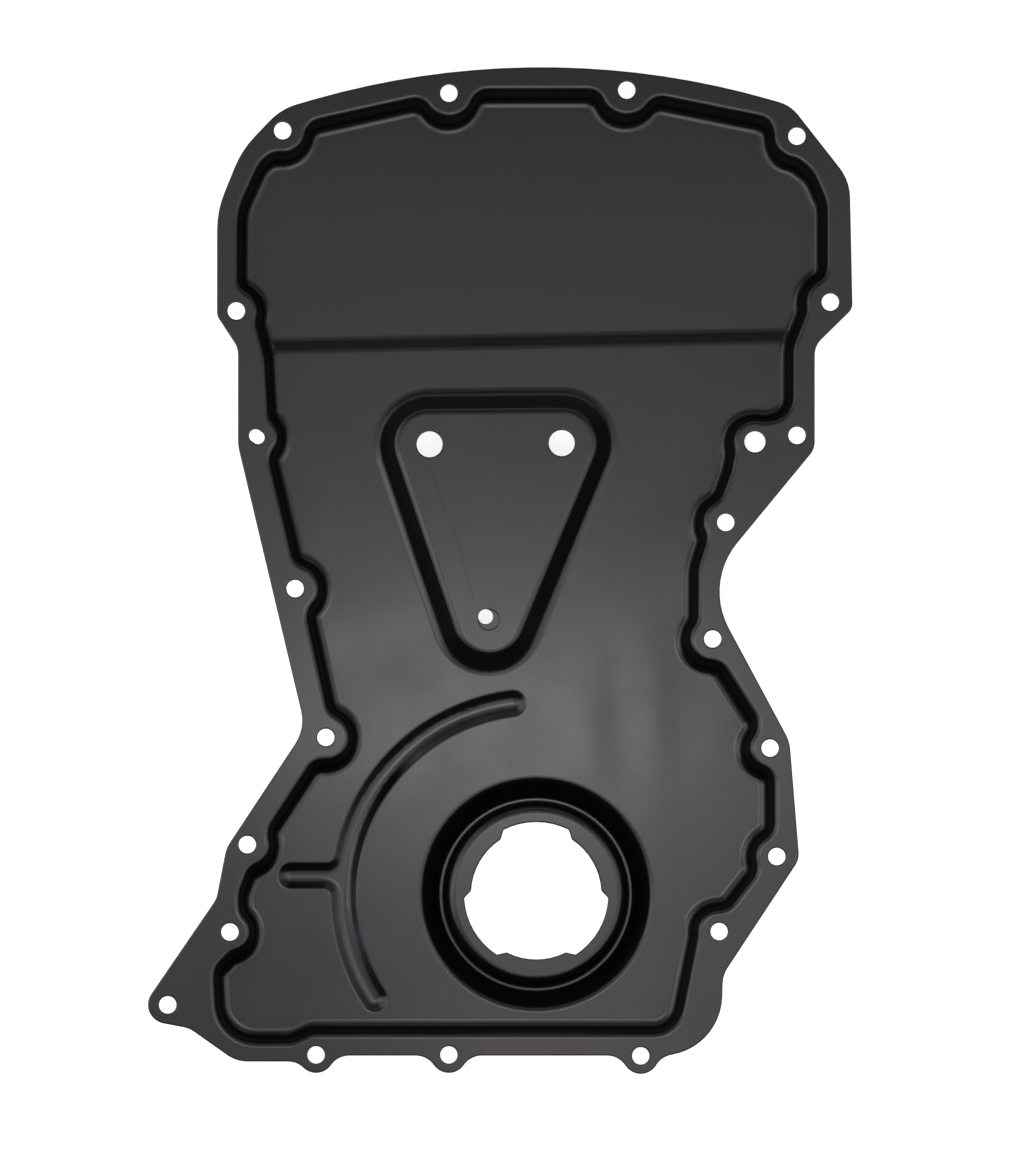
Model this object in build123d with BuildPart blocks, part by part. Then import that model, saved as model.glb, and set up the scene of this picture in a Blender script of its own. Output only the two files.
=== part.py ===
from build123d import *
from math import cos, hypot, radians, sin, sqrt, tan
import os

# Timing cover of an engine: one pressing of sheet steel, trimmed and pierced.
# It lies on its outer side. The sealing face of the flange looks up and is the plane Z = 0,
# the crankshaft axis is the Z axis, and +Y points to the camshaft end.
# Millimetres. The plan is the one seen when looking at the sealing face.

# Sheet and pan
sheet = 1.5
pan_depth = 24.0
wall_draft = 5.0
flange_bend = 2.8
panel_bend = 4.0

# Bolt holes of the flange: X, Y and the clearance from the bolt axis to the wall, at half its depth
bolt_hole = 7.0
flange_bolts = [
    (36.2, 324.9, 11.7),
    (-35.7, 323.6, 11.1),
    (105.0, 306.3, 10.6),
    (-102.9, 308.4, 10.6),
    (118.5, 239.2, 11.1),
    (-121.6, 235.5, 10.1),
    (76.2, 150.1, 10.6),
    (-97.8, 123.3, 11.1),
    (70.9, 103.0, 10.7),
    (-85.4, 63.2, 11.0),
    (94.1, 58.9, 9.7),
    (-117.1, 19.9, 10.7),
    (96.8, 15.1, 10.1),
    (-124.1, -15.4, 9.7),
    (73.5, -15.2, 10.1),
]

# Bolt holes that lie clear of the wall
ear_bolts = [(105.0, 185.3), (-149.2, -44.8)]

# Bolt holes of the bottom edge, each with a lug round it
lug_bolts = [(41.8, -65.4), (-35.7, -65.0), (-89.3, -65.0)]
lug_radius = 7.3
lug_root = 9.0

# Larger bolt hole to the left of the right-hand ear and a little below it
wide_hole = 8.5
wide_left = 17.0
wide_down = 2.6
wide_bolt = (ear_bolts[0][0] - wide_left, ear_bolts[0][1] - wide_down, 10.1)

# Oblong locating hole at the left edge
slot_width = 5.3
slot_length = 6.5
slot_turn = -35.0
slot_place = (-113.3, 184.7, 10.1)

# Edge of the flange: corner points, each with the radius of its corner
flange_edge = [
    (2.0, 347.6, 333.0),
    (102.5, 318.8, 15.0),
    (126.4, 288.3, 20.0),
    (127.5, 236.5, 5.0),
    (112.2, 221.5, 7.0),
    (112.2, 179.8, 8.0),
    (67.6, 125.7, 31.0),
    (102.0, 61.6, 15.0),
    (105.9, 14.0, 8.0),
    (75.0, -32.8, 12.0),
    (74.2, -65.3, 24.5),
    (-90.0, -65.3, 1.0),
    (-90.0, -67.7, 1.0),
    (-121.5, -67.7, 14.0),
    (-140.5, -54.3, 10.0),
    (-162.5, -50.1, 7.7),
    (-129.6, -2.0, 8.0),
    (-125.6, 18.5, 12.0),
    (-93.7, 66.8, 17.0),
    (-120.9, 181.0, 20.0),
    (-120.9, 220.5, 8.0),
    (-129.4, 233.5, 5.0),
    (-129.4, 276.0, 40.0),
    (-119.5, 300.5, 40.0),
    (-103.5, 317.3, 25.0),
]

# Wall of the pan at half its depth: corner points and radii. Radius 1 marks a corner that
# lies inside the clearance of a bolt and is cut away.
wall_edge = [
    (-34.0, 323.3, 1.0),
    (36.0, 323.4, 1.0),
    (100.0, 310.6, 1.0),
    (101.0, 298.3, 1.0),
    (110.5, 291.0, 14.0),
    (115.8, 279.0, 14.0),
    (115.8, 238.0, 1.0),
    (108.5, 238.0, 1.0),
    (102.0, 221.0, 16.0),
    (101.9, 193.2, 8.5),
    (86.0, 192.0, 1.0),
    (79.0, 181.0, 1.0),
    (77.0, 171.0, 10.0),
    (70.0, 152.0, 1.0),
    (63.6, 132.0, 18.0),
    (63.4, 105.0, 1.0),
    (71.0, 96.0, 1.0),
    (87.5, 70.0, 6.0),
    (90.0, 59.0, 1.0),
    (94.3, 52.0, 1.0),
    (94.4, 18.0, 1.0),
    (89.0, 11.0, 1.0),
    (75.0, -7.0, 1.0),
    (64.6, -11.5, 1.0),
    (55.7, -55.0, 11.0),
    (-91.0, -55.0, 8.0),
    (-99.0, -58.7, 8.0),
    (-127.5, -58.7, 15.0),
    (-129.0, -31.5, 6.5),
    (-118.0, -20.0, 1.0),
    (-118.3, -12.0, 1.0),
    (-119.0, -0.5, 10.0),
    (-113.0, 15.0, 1.0),
    (-109.0, 22.7, 1.0),
    (-84.5, 60.0, 1.0),
    (-82.0, 69.5, 1.0),
    (-93.0, 119.0, 1.0),
    (-95.8, 130.0, 1.0),
    (-108.5, 183.0, 1.0),
    (-107.0, 190.5, 1.0),
    (-108.5, 217.0, 30.0),
    (-114.0, 238.0, 1.0),
    (-119.6, 243.0, 1.0),
    (-119.4, 276.0, 25.0),
    (-111.0, 294.5, 12.0),
    (-98.0, 304.0, 1.0),
    (-93.5, 310.0, 1.0),
]
wall_root = 6.0

# Shallow step across the pan: the camshaft end is the deeper one
step_drop = 2.1
step_y = 224.3
step_turn = 1.15
step_slope = 26.0
step_bend = 7.0

# Raised mounting pad with three holes; its plan radius round them is that at the floor of the pan
pad_holes = [(-43.3, 182.1), (10.2, 182.6), (-19.3, 111.1)]
pad_hole = 10.5
pad_radius = 20.7
pad_height = 8.0
pad_draft = 42.0
pad_foot_bend = 6.0
pad_top_bend = 4.0

# Collar round the crankshaft, which holds the oil seal
seal_bore = 70.0
collar_height = 13.0
crest_bend = 2.1
collar_draft = 26.5
collar_foot_bend = 3.0
stop_bend = 4.0

# Opening inside the seal stop: six sectors, three wide and three narrow
opening_wide = 29.2
opening_narrow = 26.4
opening_ramp = 6.0
opening_bend = 1.2

# Seat of the lowest pad hole: a shallow dish with a smaller hole pierced off its centre
dish_radius = 4.4
dish_depth = 0.7
dish_hole = 6.0
dish_shift = (-1.3, 1.2)

# Coined seat on the pad, a hair lower than the rest of it: corner points and radii
seat_depth = 0.15
seat_edge = [
    (-52.3, 191.0, 8.8),
    (19.2, 191.5, 8.8),
    (19.2, 176.0, 8.0),
    (6.5, 163.5, 20.0),
    (-9.0, 124.0, 30.0),
    (-9.6, 102.3, 8.8),
    (-29.0, 102.3, 8.8),
    (-25.3, 119.5, 20.0),
    (-31.5, 141.0, 40.0),
    (-42.5, 171.5, 6.0),
    (-52.3, 174.0, 5.0),
]

# Stiffening bead, concentric with the crankshaft, and its branch to the left
bead_gap = 14.1
bead_start = 97.0
bead_end = 213.0
bead_width = 10.6
bead_depth = 2.4
bead_slope = 34.0
bead_foot_bend = 2.0
bead_crown_bend = 5.0
branch_y = 7.5
branch_gap = 10.9
branch_root = 3.0

# The bead's centre line passes the tip of the pad by bead_gap, and the centre of the branch's
# round end stays branch_gap off the wall round the bolt above it
bead_radius = hypot(*pad_holes[2]) - pad_radius - bead_gap
branch_bolt = flange_bolts[11]
branch_far = branch_bolt[2] + branch_gap
branch_reach = -branch_bolt[0] - sqrt(branch_far**2 - (branch_bolt[1] - branch_y) ** 2)

base = 10.0


def spread(angle, skin):
    """Outward move of a corner line when both of its faces move by skin."""
    return skin * tan(radians(angle) / 2)


def rounded(corners):
    """Closed outline through corner points, each rounded with its own radius."""
    points = [(x, y) for x, y, r in corners]
    radii = [r for x, y, r in corners]
    return FilletPolyline(*points, radius=radii, close=True)


def pan_plan(grow):
    """Plan of the pan at half its depth, moved outwards by grow."""
    with BuildSketch() as plan:
        with BuildLine():
            rounded(wall_edge)
        make_face()
        for x, y, room in flange_bolts + [wide_bolt, slot_place]:
            with Locations((x, y)):
                Circle(room, mode=Mode.SUBTRACT)
        offset(amount=-wall_root)
        offset(amount=wall_root + grow)
    return plan.sketch


def pad_plan(radius):
    """Plan of the mounting pad: the triangle of its holes, moved outwards by a radius."""
    with BuildSketch() as plan:
        with BuildLine():
            Polyline(*pad_holes, close=True)
        make_face()
        offset(amount=radius)
    return plan.sketch


def step_cut(skin):
    """Space above the shallower end of the pan, bounded by an S-shaped step."""
    low = pan_depth + skin
    high = low + step_drop
    half = step_drop / (2 * sin(radians(step_slope)))
    side = Plane(origin=(0, step_y, 0), x_dir=(0, 1, 0), z_dir=(1, 0, 0)).rotated((0, 0, step_turn))
    with BuildPart() as cut:
        with BuildSketch(side):
            with BuildLine():
                FilletPolyline(
                    (-400, low),
                    (-half * cos(radians(step_slope)), low),
                    (half * cos(radians(step_slope)), high),
                    (60, high),
                    radius=step_bend,
                )
                Polyline((60, high), (60, high + 40), (-400, high + 40), (-400, low))
            make_face()
        extrude(amount=300, both=True)
    return cut.part


def pad_cut(skin):
    """Hollow that the raised pad leaves in the pan, as seen from the outer side."""
    with BuildPart(mode=Mode.PRIVATE) as cut:
        with BuildSketch():
            add(pad_plan(pad_radius - spread(90 - pad_draft, skin)))
        extrude(amount=pad_height, taper=pad_draft)
    hollow = mirror(cut.part, about=Plane.XY, mode=Mode.PRIVATE)
    return hollow.moved(Location((0, 0, pan_depth + skin)))


def bead_ridge(skin):
    """Ridge of the stiffening bead and its branch on the outer side."""
    width = bead_width + 2 * spread(bead_slope, skin)
    middle = (bead_radius + branch_reach) / 2
    with BuildPart() as ridge:
        with BuildSketch(Plane.XY.offset(pan_depth + skin)) as plan:
            with BuildLine(mode=Mode.PRIVATE) as path:
                CenterArc((0, 0), bead_radius, bead_start, bead_end - bead_start)
            SlotArc(path.edges()[0], width)
            with Locations((-middle, branch_y)):
                SlotCenterToCenter(branch_reach - bead_radius, width)
            near = [v for v in plan.vertices() if abs(abs(v.Y - branch_y) - width / 2) < 0.1]
            fillet([v for v in near if v.X > -middle], radius=branch_root)
        extrude(amount=bead_depth, taper=90 - bead_slope)
        fillet(ridge.faces().sort_by(Axis.Z)[-1].edges(), radius=bead_crown_bend + skin)
    return ridge.part


def collar_ring(skin):
    """Ring of the seal collar on the outer side, with its foot bends, revolved."""
    level = pan_depth + skin
    lift = radians(collar_draft)
    mid = seal_bore / 2 + sheet + crest_bend
    crest = crest_bend + skin
    inner_foot = stop_bend - skin
    outer_foot = collar_foot_bend - skin
    inner = mid - crest
    top = level + collar_height
    peak = top - crest
    rim = mid + crest * cos(lift)
    rim_z = peak + crest * sin(lift)
    foot_z = level + outer_foot * (1 - sin(lift))
    foot = rim + (rim_z - foot_z) * tan(lift)
    end = foot + outer_foot * cos(lift)
    with BuildPart() as ring:
        with BuildSketch(Plane.XZ):
            with BuildLine():
                Line((inner - inner_foot, level - 3), (inner - inner_foot, level))
                RadiusArc((inner - inner_foot, level), (inner, level + inner_foot), -inner_foot)
                Line((inner, level + inner_foot), (inner, peak))
                ThreePointArc((inner, peak), (mid, top), (rim, rim_z))
                Line((rim, rim_z), (foot, foot_z))
                RadiusArc((foot, foot_z), (end, level), -outer_foot)
                Line((end, level), (end, level - 3))
                Line((end, level - 3), (inner - inner_foot, level - 3))
            make_face()
        revolve(axis=Axis.Z)
    return ring.part


def pick(solid, z, low, high):
    """Edges of a solid at height z whose middle lies in a plan rectangle."""
    found = []
    for edge in solid.edges():
        c = edge.center()
        if abs(c.Z - z) < 0.01 and low[0] < c.X < high[0] and low[1] < c.Y < high[1]:
            found.append(edge)
    return found


def form(skin):
    """Solid under one face of the sheet, with the pan pointing up.

    The face of the inner side has skin 0, that of the outer side has skin = sheet.
    """
    depth = pan_depth + step_drop
    run = depth * tan(radians(wall_draft)) / 2
    level = pan_depth + skin
    pad_low = (-75, 80)
    pad_high = (40, 215)
    with BuildPart() as body:
        # Pan: tapered wall, stepped floor and the bend between them
        with BuildSketch(Plane.XY.offset(skin)):
            add(pan_plan(run + spread(90 - wall_draft, skin)))
        extrude(amount=depth, taper=wall_draft)
        add(step_cut(skin), mode=Mode.SUBTRACT)
        floors = [f for f in body.faces() if f.center().Z > level - 0.1 and f.normal_at().Z > 0.5]
        rim = [e for f in floors for e in f.edges()]
        middles = [e.center() for e in rim]
        fillet(
            [e for e in rim if sum((m - e.center()).length < 0.01 for m in middles) == 1],
            radius=panel_bend + skin,
        )

        # Flange plane and the bend at the foot of the wall
        with BuildSketch(Plane.XY.offset(-base)):
            Rectangle(600, 900)
        extrude(amount=base + skin)
        foot = pick(body, skin, (-200, -100), (200, 400))
        fillet([e for e in foot if e.length < 500], radius=flange_bend - skin)

        # Mounting pad
        add(pad_cut(skin), mode=Mode.SUBTRACT)
        fillet(pick(body, level, pad_low, pad_high), radius=pad_foot_bend + skin)
        fillet(pick(body, level - pad_height, pad_low, pad_high), radius=pad_top_bend - skin)

        # Bead and collar
        ridge = bead_ridge(skin)
        add(ridge)
        around = pick(body, level, (-115, -50), (5, 90))
        around = [e for e in around if ridge.distance_to(e.center()) < 0.01]
        fillet(around, radius=bead_foot_bend - skin)
        add(collar_ring(skin))
    return body.part


def flange_plan():
    """Plan of the trimmed sheet, with a lug round each bolt of the bottom edge."""
    with BuildSketch() as plan:
        with BuildLine():
            rounded(flange_edge)
        make_face()
        with Locations(*lug_bolts):
            Circle(lug_radius)
        offset(amount=lug_root)
        offset(amount=-lug_root)
    return plan.sketch


def opening_plan():
    """Opening inside the seal stop: six sectors joined by short ramps."""
    span = 60 - opening_ramp
    with BuildSketch() as plan:
        with BuildLine():
            for k in range(3):
                start = 60 + 120 * k + opening_ramp / 2
                wide = CenterArc((0, 0), opening_wide, start, span)
                narrow = CenterArc((0, 0), opening_narrow, start + 60, span)
                Line(wide @ 1, narrow @ 0)
                ahead = Plane.XY.rotated((0, 0, start + 120))
                Line(narrow @ 1, ahead.from_local_coords((opening_wide, 0)))
        make_face()
        fillet(plan.vertices(), radius=opening_bend)
    return plan.sketch


with BuildPart() as pressing:
    add(form(sheet))
    add(form(0), mode=Mode.SUBTRACT)
    with BuildSketch():
        add(flange_plan())
    extrude(amount=80, mode=Mode.INTERSECT)

    # Coined seat, and the dish round the lowest pad hole, from the inner side
    pad_floor = pan_depth - pad_height
    with BuildSketch(Plane.XY.offset(pad_floor)):
        with BuildLine():
            rounded(seat_edge)
        make_face()
    extrude(amount=seat_depth, mode=Mode.SUBTRACT)
    with BuildSketch(Plane.XY.offset(pad_floor)):
        with Locations(pad_holes[2]):
            Circle(dish_radius)
    extrude(amount=dish_depth, taper=30, mode=Mode.SUBTRACT)

    # Pierced holes
    with BuildSketch():
        with Locations(*[(x, y) for x, y, room in flange_bolts], *ear_bolts, *lug_bolts):
            Circle(bolt_hole / 2)
        with Locations(wide_bolt[:2]):
            Circle(wide_hole / 2)
        with Locations(slot_place[:2]):
            SlotOverall(slot_length, slot_width, rotation=slot_turn)
        with Locations(*pad_holes[:2]):
            Circle(pad_hole / 2)
        with Locations((pad_holes[2][0] + dish_shift[0], pad_holes[2][1] + dish_shift[1])):
            Circle(dish_hole / 2)
        add(opening_plan())
    extrude(amount=80, mode=Mode.SUBTRACT)

# The pan points down in the finished cover
with BuildPart() as timing_cover:
    add(pressing.part.mirror(Plane.XY))

timing_cover.part.label = "timing_cover"
os.makedirs("parts", exist_ok=True)
export_step(timing_cover.part, "parts/timing_cover.step")

box = timing_cover.part.bounding_box()
print("size", round(box.size.X, 2), round(box.size.Y, 2), round(box.size.Z, 2))
print("volume", round(timing_cover.part.volume), "solids", len(timing_cover.part.solids()))
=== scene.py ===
import math

import bmesh
import bpy
from mathutils import Matrix, Vector


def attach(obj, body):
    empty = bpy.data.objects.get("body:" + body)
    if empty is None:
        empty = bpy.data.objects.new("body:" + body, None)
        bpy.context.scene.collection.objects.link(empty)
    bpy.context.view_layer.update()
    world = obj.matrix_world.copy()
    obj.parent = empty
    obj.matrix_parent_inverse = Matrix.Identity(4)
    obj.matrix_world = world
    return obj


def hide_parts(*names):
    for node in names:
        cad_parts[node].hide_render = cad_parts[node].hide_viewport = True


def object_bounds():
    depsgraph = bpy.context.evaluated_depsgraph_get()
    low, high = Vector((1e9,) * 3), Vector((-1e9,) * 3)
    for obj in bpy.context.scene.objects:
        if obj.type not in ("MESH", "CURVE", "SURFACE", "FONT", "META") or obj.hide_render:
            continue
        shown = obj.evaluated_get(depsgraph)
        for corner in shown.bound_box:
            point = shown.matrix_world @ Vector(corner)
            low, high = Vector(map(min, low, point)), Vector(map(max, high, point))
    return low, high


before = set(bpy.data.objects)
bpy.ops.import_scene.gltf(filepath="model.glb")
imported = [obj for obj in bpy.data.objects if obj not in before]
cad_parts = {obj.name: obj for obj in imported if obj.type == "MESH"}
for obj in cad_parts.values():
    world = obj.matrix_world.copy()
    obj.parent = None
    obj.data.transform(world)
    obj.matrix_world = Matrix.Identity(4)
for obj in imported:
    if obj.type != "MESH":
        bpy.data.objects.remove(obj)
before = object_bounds()

# The plane that the cover lies on, in metres
LOWEST = before[0][2]

# Sizes of the pressing are in millimetres and its angles in degrees, in the plan of the CAD model
MM = 0.001

# Clean-up of the CAD mesh: points this close are one, and faces this near to one plane are one
MERGE = 0.002
COPLANAR = 0.02

# Sheared and coined edges: the angle that makes an edge one of them, and the width that each rolls over
RIM_ANGLE = 60.0
RIM_ROLL = 0.6
SEAT_ROLL = 0.14
DISH_ROLL = 0.22

# Mounting pad: its holes, the heights between which the coined seat's outline lies, how far that
# outline stays from a hole, and how far the dish at the pad's tip reaches
PAD_HOLES = [(-43.3, 182.1), (10.2, 182.6), (-19.3, 111.1)]
SEAT_HEIGHTS = (-16.3, -15.9)
SEAT_CLEAR = 6.3
DISH_REACH = 5.2
PAD_TIP = 130.0

# The seat's left side: it lies left of this X, between these two Y, and its upper edge above this Z
STRUCK_X = -24.0
STRUCK_Y = (118.0, 172.0)
STRUCK_Z = -16.08

# Flat faces by the upright part of their normal; those below FLOOR_TOP are cut into strips
FLAT = 0.9999
FLOOR_TOP = -15.0
STRIP = 3.0

# Marks that drawing the pan left in its floor: X, Y, reach, turn in degrees, length against width, height
DRAW_MARKS = [
    (20.0, 62.0, 6.5, -80.0, 3.0, 0.26),
    (34.0, 76.0, 7.0, -86.0, 4.0, -0.34),
    (48.0, 73.0, 7.0, -87.0, 4.2, 0.3),
    (64.0, 148.0, 12.0, 70.0, 2.0, 0.3),
    (67.0, 103.0, 12.0, 80.0, 2.2, -0.22),
    (82.0, 80.0, 11.0, 60.0, 1.8, 0.2),
    (-62.0, 96.0, 15.0, 20.0, 2.2, -0.25),
    (-52.0, 50.0, 14.0, 50.0, 1.8, 0.18),
    (92.0, 207.0, 9.0, 30.0, 1.7, 0.34),
    (60.0, 165.0, 14.0, 62.0, 2.0, -0.26),
    (52.0, -38.0, 10.0, 40.0, 1.6, 0.18),
    (-92.0, 150.0, 12.0, 75.0, 1.8, 0.12),
]

# Light table, in metres
TABLE_SIZE = 6.0
TABLE_MIDDLE = (0.0, 0.13)

# Softboxes, in metres: name, two opposite corners in plan, height, strength, colour
BOX_HEIGHT = 0.40
LAMP_HEIGHT = 0.399
SOFTBOXES = [
    # The main box hangs over the foot of the cover
    ("main", (-0.06, -0.26), (0.60, 0.13), BOX_HEIGHT, 1.60, "f8fcff"),
    ("main_top", (-0.06, 0.13), (0.04, 0.185), BOX_HEIGHT, 1.80, "fcfdff"),
    ("main_top_right", (0.04, 0.13), (0.60, 0.185), BOX_HEIGHT, 1.25, "f8fbff"),
    ("main_right", (0.60, -0.26), (1.2, 0.185), BOX_HEIGHT, 1.0, "fcfdff"),
    ("main_left", (-0.60, 0.035), (-0.06, 0.185), BOX_HEIGHT, 1.42, "f4f8ff"),
    ("left_foot", (-0.60, -0.26), (-0.06, 0.035), BOX_HEIGHT, 0.96, "f2f6ff"),
    # Towards the camshaft end it fades out
    ("fade", (-0.60, 0.185), (1.2, 0.33), BOX_HEIGHT, 1.08, "f8fcfa"),
    ("far_end", (-0.60, 0.33), (1.2, 0.52), BOX_HEIGHT, 0.50, "f4fff6"),
    ("dim", (-0.60, 0.52), (1.2, 0.95), BOX_HEIGHT, 0.12, "f4fff6"),
    # What lies beyond shows only in the bends
    ("beyond", (-1.2, 0.95), (1.6, 2.8), BOX_HEIGHT, 0.75, "f4fff6"),
    ("beyond_left", (-2.2, -0.25), (-0.60, 0.95), BOX_HEIGHT, 2.2, "f0f4ff"),
    # The lamps show through the cloth of the main box
    ("lamp", (-0.095, 0.04), (0.065, 0.108), LAMP_HEIGHT, 4.8, "fff8ee"),
    ("left_lamp", (-0.50, -0.03), (-0.22, 0.12), LAMP_HEIGHT, 2.2, "fafcff"),
    ("right_lamp", (0.08, 0.05), (0.30, 0.12), LAMP_HEIGHT, 0.8, "fafcff"),
    ("foot_lamp", (-0.03, -0.12), (0.05, -0.05), LAMP_HEIGHT, 1.5, "ffd0a8"),
]

# Camera: what its picture's longer side covers and where it aims, in millimetres, its distance in
# metres, how far it leans to the left and to the foot, in degrees, and its sensor's width
PICTURE = 0.404 * 1159
AIM = (-10.2, 127.0, 0)
DISTANCE = 8.0
LEAN_LEFT = 0.9
LEAN_FOOT = 1.2
SENSOR = 36


# Colours and nodes


def linear(code):
    """sRGB hex to linear RGBA."""
    parts = [int(code[i : i + 2], 16) / 255 for i in (0, 2, 4)]
    return [c / 12.92 if c <= 0.04045 else ((c + 0.055) / 1.055) ** 2.4 for c in parts] + [1.0]


def node(tree, kind, inputs=None, **settings):
    """Adds a node, sets its properties and inputs; an input that is a socket is linked."""
    n = tree.nodes.new(kind)
    for key, value in settings.items():
        setattr(n, key, value)
    for key, value in (inputs or {}).items():
        if isinstance(value, bpy.types.NodeSocket):
            tree.links.new(value, n.inputs[key])
        else:
            n.inputs[key].default_value = value
    return n


def material(name):
    """A material with an empty node tree, and that tree."""
    m = bpy.data.materials.new(name)
    m.use_nodes = True
    m.node_tree.nodes.clear()
    return m, m.node_tree


# The sheet: the CAD mesh, its sheared rims rolled and its floor cut finely enough to carry the draw marks


def draw_height(x, y):
    """Height in mm that drawing the pan left at (x, y) of its floor."""
    total = 0.0
    for cx, cy, reach, turn, longer, height in DRAW_MARKS:
        c, s = math.cos(math.radians(turn)), math.sin(math.radians(turn))
        along = ((x - cx) * c + (y - cy) * s) / (reach * longer)
        aside = ((y - cy) * c - (x - cx) * s) / reach
        total += height * math.exp(-along * along - aside * aside)
    return total


def from_pad_hole(edge):
    """Distance in mm from an edge to the middle of the nearest hole of the pad."""
    middle = (edge.verts[0].co + edge.verts[1].co) / (2 * MM)
    return min(math.hypot(middle.x - x, middle.y - y) for x, y in PAD_HOLES)


def on_seat(edge):
    """Whether an edge belongs to the outline of the coined seat on the pad, and not to a hole in it."""
    low, high = SEAT_HEIGHTS
    return all(low < v.co.z / MM < high for v in edge.verts) and from_pad_hole(edge) > SEAT_CLEAR


def struck(edge):
    """Whether an edge of the seat is the upper one of its left side."""
    x, y, z = edge.verts[0].co / MM
    return x < STRUCK_X and STRUCK_Y[0] < y < STRUCK_Y[1] and z > STRUCK_Z


def in_dish(edge):
    """Whether an edge belongs to the dish at the tip of the pad or to the small hole in it."""
    return edge.verts[0].co.y < PAD_TIP * MM and from_pad_hole(edge) < DISH_REACH


def sharp_edges(bm):
    """Edges where shearing or coining left a corner."""
    return [e for e in bm.edges if len(e.link_faces) == 2 and e.calc_face_angle() > math.radians(RIM_ANGLE)]


def roll(bm, edges, width, segments):
    """Rounds edges over a width in mm."""
    bmesh.ops.bevel(
        bm,
        geom=edges,
        offset=width * MM,
        offset_type="OFFSET",
        segments=segments,
        profile=0.5,
        affect="EDGES",
        clamp_overlap=False,
    )


def cut_in_strips(bm, faces, axis, step):
    """Cuts faces along planes a step apart, square to an axis, and returns the faces that result."""
    geom = [*faces, *{e for f in faces for e in f.edges}, *{v for f in faces for v in f.verts}]
    low = min(v.co[axis] for v in bm.verts)
    high = max(v.co[axis] for v in bm.verts)
    normal = [0, 0, 0]
    normal[axis] = 1
    for i in range(1, math.ceil((high - low) / step)):
        place = [0, 0, 0]
        place[axis] = low + i * step
        geom = bmesh.ops.bisect_plane(bm, geom=geom, plane_co=place, plane_no=normal, dist=1e-7)["geom"]
    return [g for g in geom if isinstance(g, bmesh.types.BMFace)]


def put_in_order(elements, place):
    """Puts the points or faces of a mesh in the order of their places."""
    rank = {e: i for i, e in enumerate(sorted(elements, key=place))}
    elements.sort(key=rank.get)


def lay_normal(vert):
    """Shading normal: that of the flat panels that a point touches, else the mean of the faces round it."""
    flat = any(f.tag for f in vert.link_faces)
    total = Vector()
    for loop in vert.link_loops:
        if loop.face.tag or not flat:
            total += loop.face.normal * loop.face.calc_area() * loop.calc_angle()
    return total.normalized()


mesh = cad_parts["timing_cover"].data.copy()
bm = bmesh.new()
bm.from_mesh(mesh)
bmesh.ops.remove_doubles(bm, verts=bm.verts, dist=MERGE * MM)
bmesh.ops.dissolve_limit(bm, angle_limit=math.radians(COPLANAR), verts=bm.verts, edges=bm.edges)

# The dish is shallow and the sheet thin there, so its edges roll less than the others
roll(bm, [e for e in sharp_edges(bm) if in_dish(e)], DISH_ROLL, 2)
rims = [e for e in sharp_edges(bm) if not in_dish(e)]
# The seat was struck deeper along its left side, and only there its edge catches the light
seat_side = [e for e in rims if on_seat(e) and struck(e)]
roll(bm, [e for e in rims if not on_seat(e)], RIM_ROLL, 3)
roll(bm, [e for e in seat_side if e.is_valid], SEAT_ROLL, 1)

panels = [f for f in bm.faces if abs(f.normal.z) > FLAT and f.calc_center_median().z < FLOOR_TOP * MM]
for axis in (0, 1):
    panels = cut_in_strips(bm, panels, axis, STRIP * MM)
bmesh.ops.triangulate(bm, faces=[f for f in bm.faces if len(f.verts) > 4])
bm.normal_update()
for f in bm.faces:
    f.tag = abs(f.normal.z) > FLAT
for v in bm.verts:
    if v.co.z < FLOOR_TOP * MM:
        v.co.z = max(v.co.z + draw_height(v.co.x / MM, v.co.y / MM) * MM, LOWEST)
bmesh.ops.dissolve_degenerate(bm, dist=MERGE * MM, edges=bm.edges)
# The cuts leave points and faces in a chance order
put_in_order(bm.verts, lambda v: tuple(v.co))
put_in_order(bm.faces, lambda f: tuple(f.calc_center_median()))
bm.normal_update()
normals = [lay_normal(v) for v in bm.verts]
bm.to_mesh(mesh)
bm.free()
for poly in mesh.polygons:
    poly.use_smooth = True
mesh.normals_split_custom_set_from_vertices(normals)
cover = bpy.data.objects.new("cover", mesh)
bpy.context.scene.collection.objects.link(cover)


# Black dip coat over sheet steel: satin, so the softbox spreads into a wide dark grey sheen

coat, tree = material("satin_black_dip_coat")
place = node(tree, "ShaderNodeTexCoord").outputs["Object"]
# Runs and thin spots of the dip: clouds 30 mm across that make the sheen a little uneven
clouds = node(tree, "ShaderNodeTexNoise", {"Vector": place, "Scale": 33.0, "Detail": 3.0, "Roughness": 0.6})
gloss = node(
    tree,
    "ShaderNodeMapRange",
    {"Value": clouds.outputs["Fac"], "From Min": 0.3, "From Max": 0.7, "To Min": 0.23, "To Max": 0.29},
)
# The punch scored the steep walls on the inner side, and the coat is dull and dead black on them.
# It starts where a wall leans 37 degrees from the floor and is full from 63 degrees.
facing = node(tree, "ShaderNodeNewGeometry")
upright = node(tree, "ShaderNodeSeparateXYZ", {"Vector": facing.outputs["Normal"]})
steep = node(tree, "ShaderNodeMapRange", {"Value": upright.outputs["Z"], "From Min": 0.8, "From Max": 0.45})
inner = node(tree, "ShaderNodeMapRange", {"Value": upright.outputs["Z"], "From Min": -0.02, "From Max": 0.04})
scored = node(
    tree,
    "ShaderNodeMath",
    {0: steep.outputs["Result"], 1: inner.outputs["Result"]},
    operation="MULTIPLY",
).outputs["Value"]
dull = node(tree, "ShaderNodeMapRange", {"Value": scored, "To Min": gloss.outputs["Result"], "To Max": 0.6})
shine = node(tree, "ShaderNodeMapRange", {"Value": scored, "To Min": 0.5, "To Max": 0.08})
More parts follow.
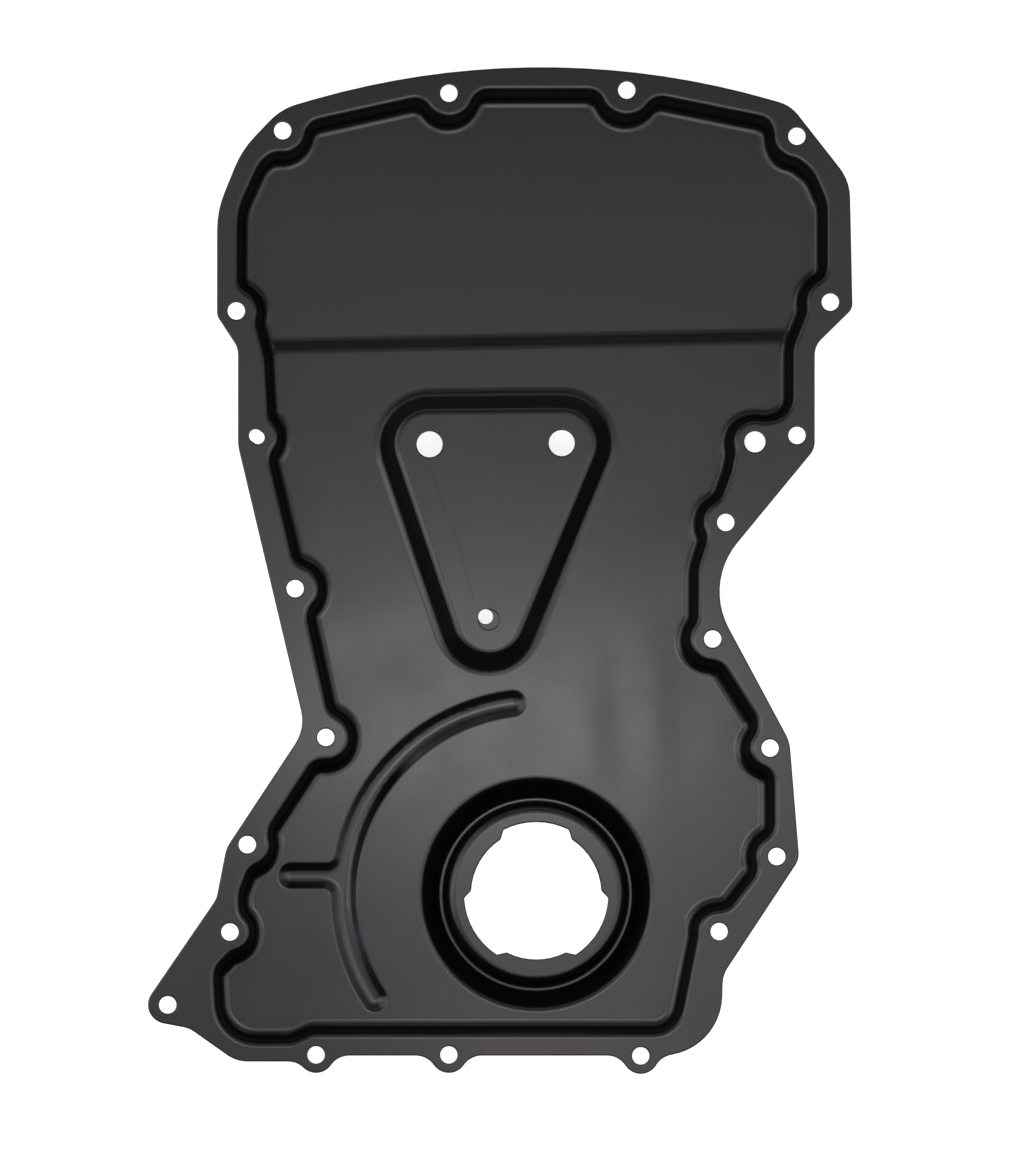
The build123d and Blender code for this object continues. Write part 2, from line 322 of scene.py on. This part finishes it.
# The fine grain that the coat takes over from rolled steel, 0.7 mm from crest to crest
grain = node(tree, "ShaderNodeTexNoise", {"Vector": place, "Scale": 1400.0, "Detail": 2.0, "Roughness": 0.5})
skin = node(
    tree,
    "ShaderNodeBump",
    {"Height": grain.outputs["Fac"], "Strength": 0.25, "Distance": 0.02 * MM},
)
shade = node(tree, "ShaderNodeValToRGB", {"Fac": clouds.outputs["Fac"]})
shade.color_ramp.elements[0].color = linear("030303")
shade.color_ramp.elements[1].color = linear("050505")
bsdf = node(
    tree,
    "ShaderNodeBsdfPrincipled",
    {
        "Base Color": shade.outputs["Color"],
        "Roughness": dull.outputs["Result"],
        "Specular IOR Level": shine.outputs["Result"],
        "Normal": skin.outputs["Normal"],
    },
)
node(tree, "ShaderNodeOutputMaterial", {"Surface": bsdf.outputs["BSDF"]})
mesh.materials.clear()
mesh.materials.append(coat)
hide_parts("timing_cover")
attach(cover, "root")


# Opal glass of a light table: lit from below, so the holes read as white as the background

glass, tree = material("opal_light_table")
bsdf = node(
    tree,
    "ShaderNodeBsdfPrincipled",
    {
        "Base Color": linear("c8c8c6"),
        "Roughness": 0.9,
        "Specular IOR Level": 0.1,
        "Emission Color": linear("ffffff"),
        "Emission Strength": 0.85,
    },
)
node(tree, "ShaderNodeOutputMaterial", {"Surface": bsdf.outputs["BSDF"]})
bpy.ops.mesh.primitive_plane_add(size=TABLE_SIZE, location=(*TABLE_MIDDLE, LOWEST))
floor = bpy.context.object
floor.name = "floor"
floor.data.materials.append(glass)


# Softboxes above the cover, in a room that is dark overhead


def softbox(name, low, high, height, strength, color):
    """Area light over a rectangle of the plan, facing down."""
    light = bpy.data.lights.new(name, "AREA")
    light.shape = "RECTANGLE"
    light.size = high[0] - low[0]
    light.size_y = high[1] - low[1]
    light.energy = strength * math.pi * light.size * light.size_y
    light.color = linear(color)[:3]
    box = bpy.data.objects.new(name, light)
    box.location = ((low[0] + high[0]) / 2, (low[1] + high[1]) / 2, height)
    box.visible_camera = False
    bpy.context.scene.collection.objects.link(box)


for box in SOFTBOXES:
    softbox(*box)

world = bpy.data.worlds.new("studio")
bpy.context.scene.world = world
world.use_nodes = True
tree = world.node_tree
tree.nodes.clear()
# Its pale walls show only low down
direction = node(tree, "ShaderNodeTexCoord").outputs["Generated"]
height = node(tree, "ShaderNodeSeparateXYZ", {"Vector": direction})
walls = node(
    tree,
    "ShaderNodeMapRange",
    {"Value": height.outputs["Z"], "From Min": 0.16, "From Max": 0.32, "To Min": 0.14, "To Max": 0.05},
)
room = node(tree, "ShaderNodeBackground", {"Color": linear("c8cdd2"), "Strength": walls.outputs["Result"]})
node(tree, "ShaderNodeOutputWorld", {"Surface": room.outputs["Background"]})


# A long lens nearly straight above, as far off the axis as the walls' widths show

data = bpy.data.cameras.new("camera")
data.sensor_width = SENSOR
data.lens = SENSOR * DISTANCE / (PICTURE * MM)
data.clip_end = 50
camera = bpy.data.objects.new("camera", data)
back = Vector((-math.tan(math.radians(LEAN_LEFT)), -math.tan(math.radians(LEAN_FOOT)), 1)).normalized()
across = Vector((0, 1, 0)).cross(back).normalized()
camera.location = Vector(AIM) * MM + back * DISTANCE
camera.rotation_euler = Matrix((across, back.cross(across), back)).transposed().to_euler()
bpy.context.scene.collection.objects.link(camera)
bpy.context.scene.camera = camera
bpy.context.scene.view_settings.view_transform = "Standard"
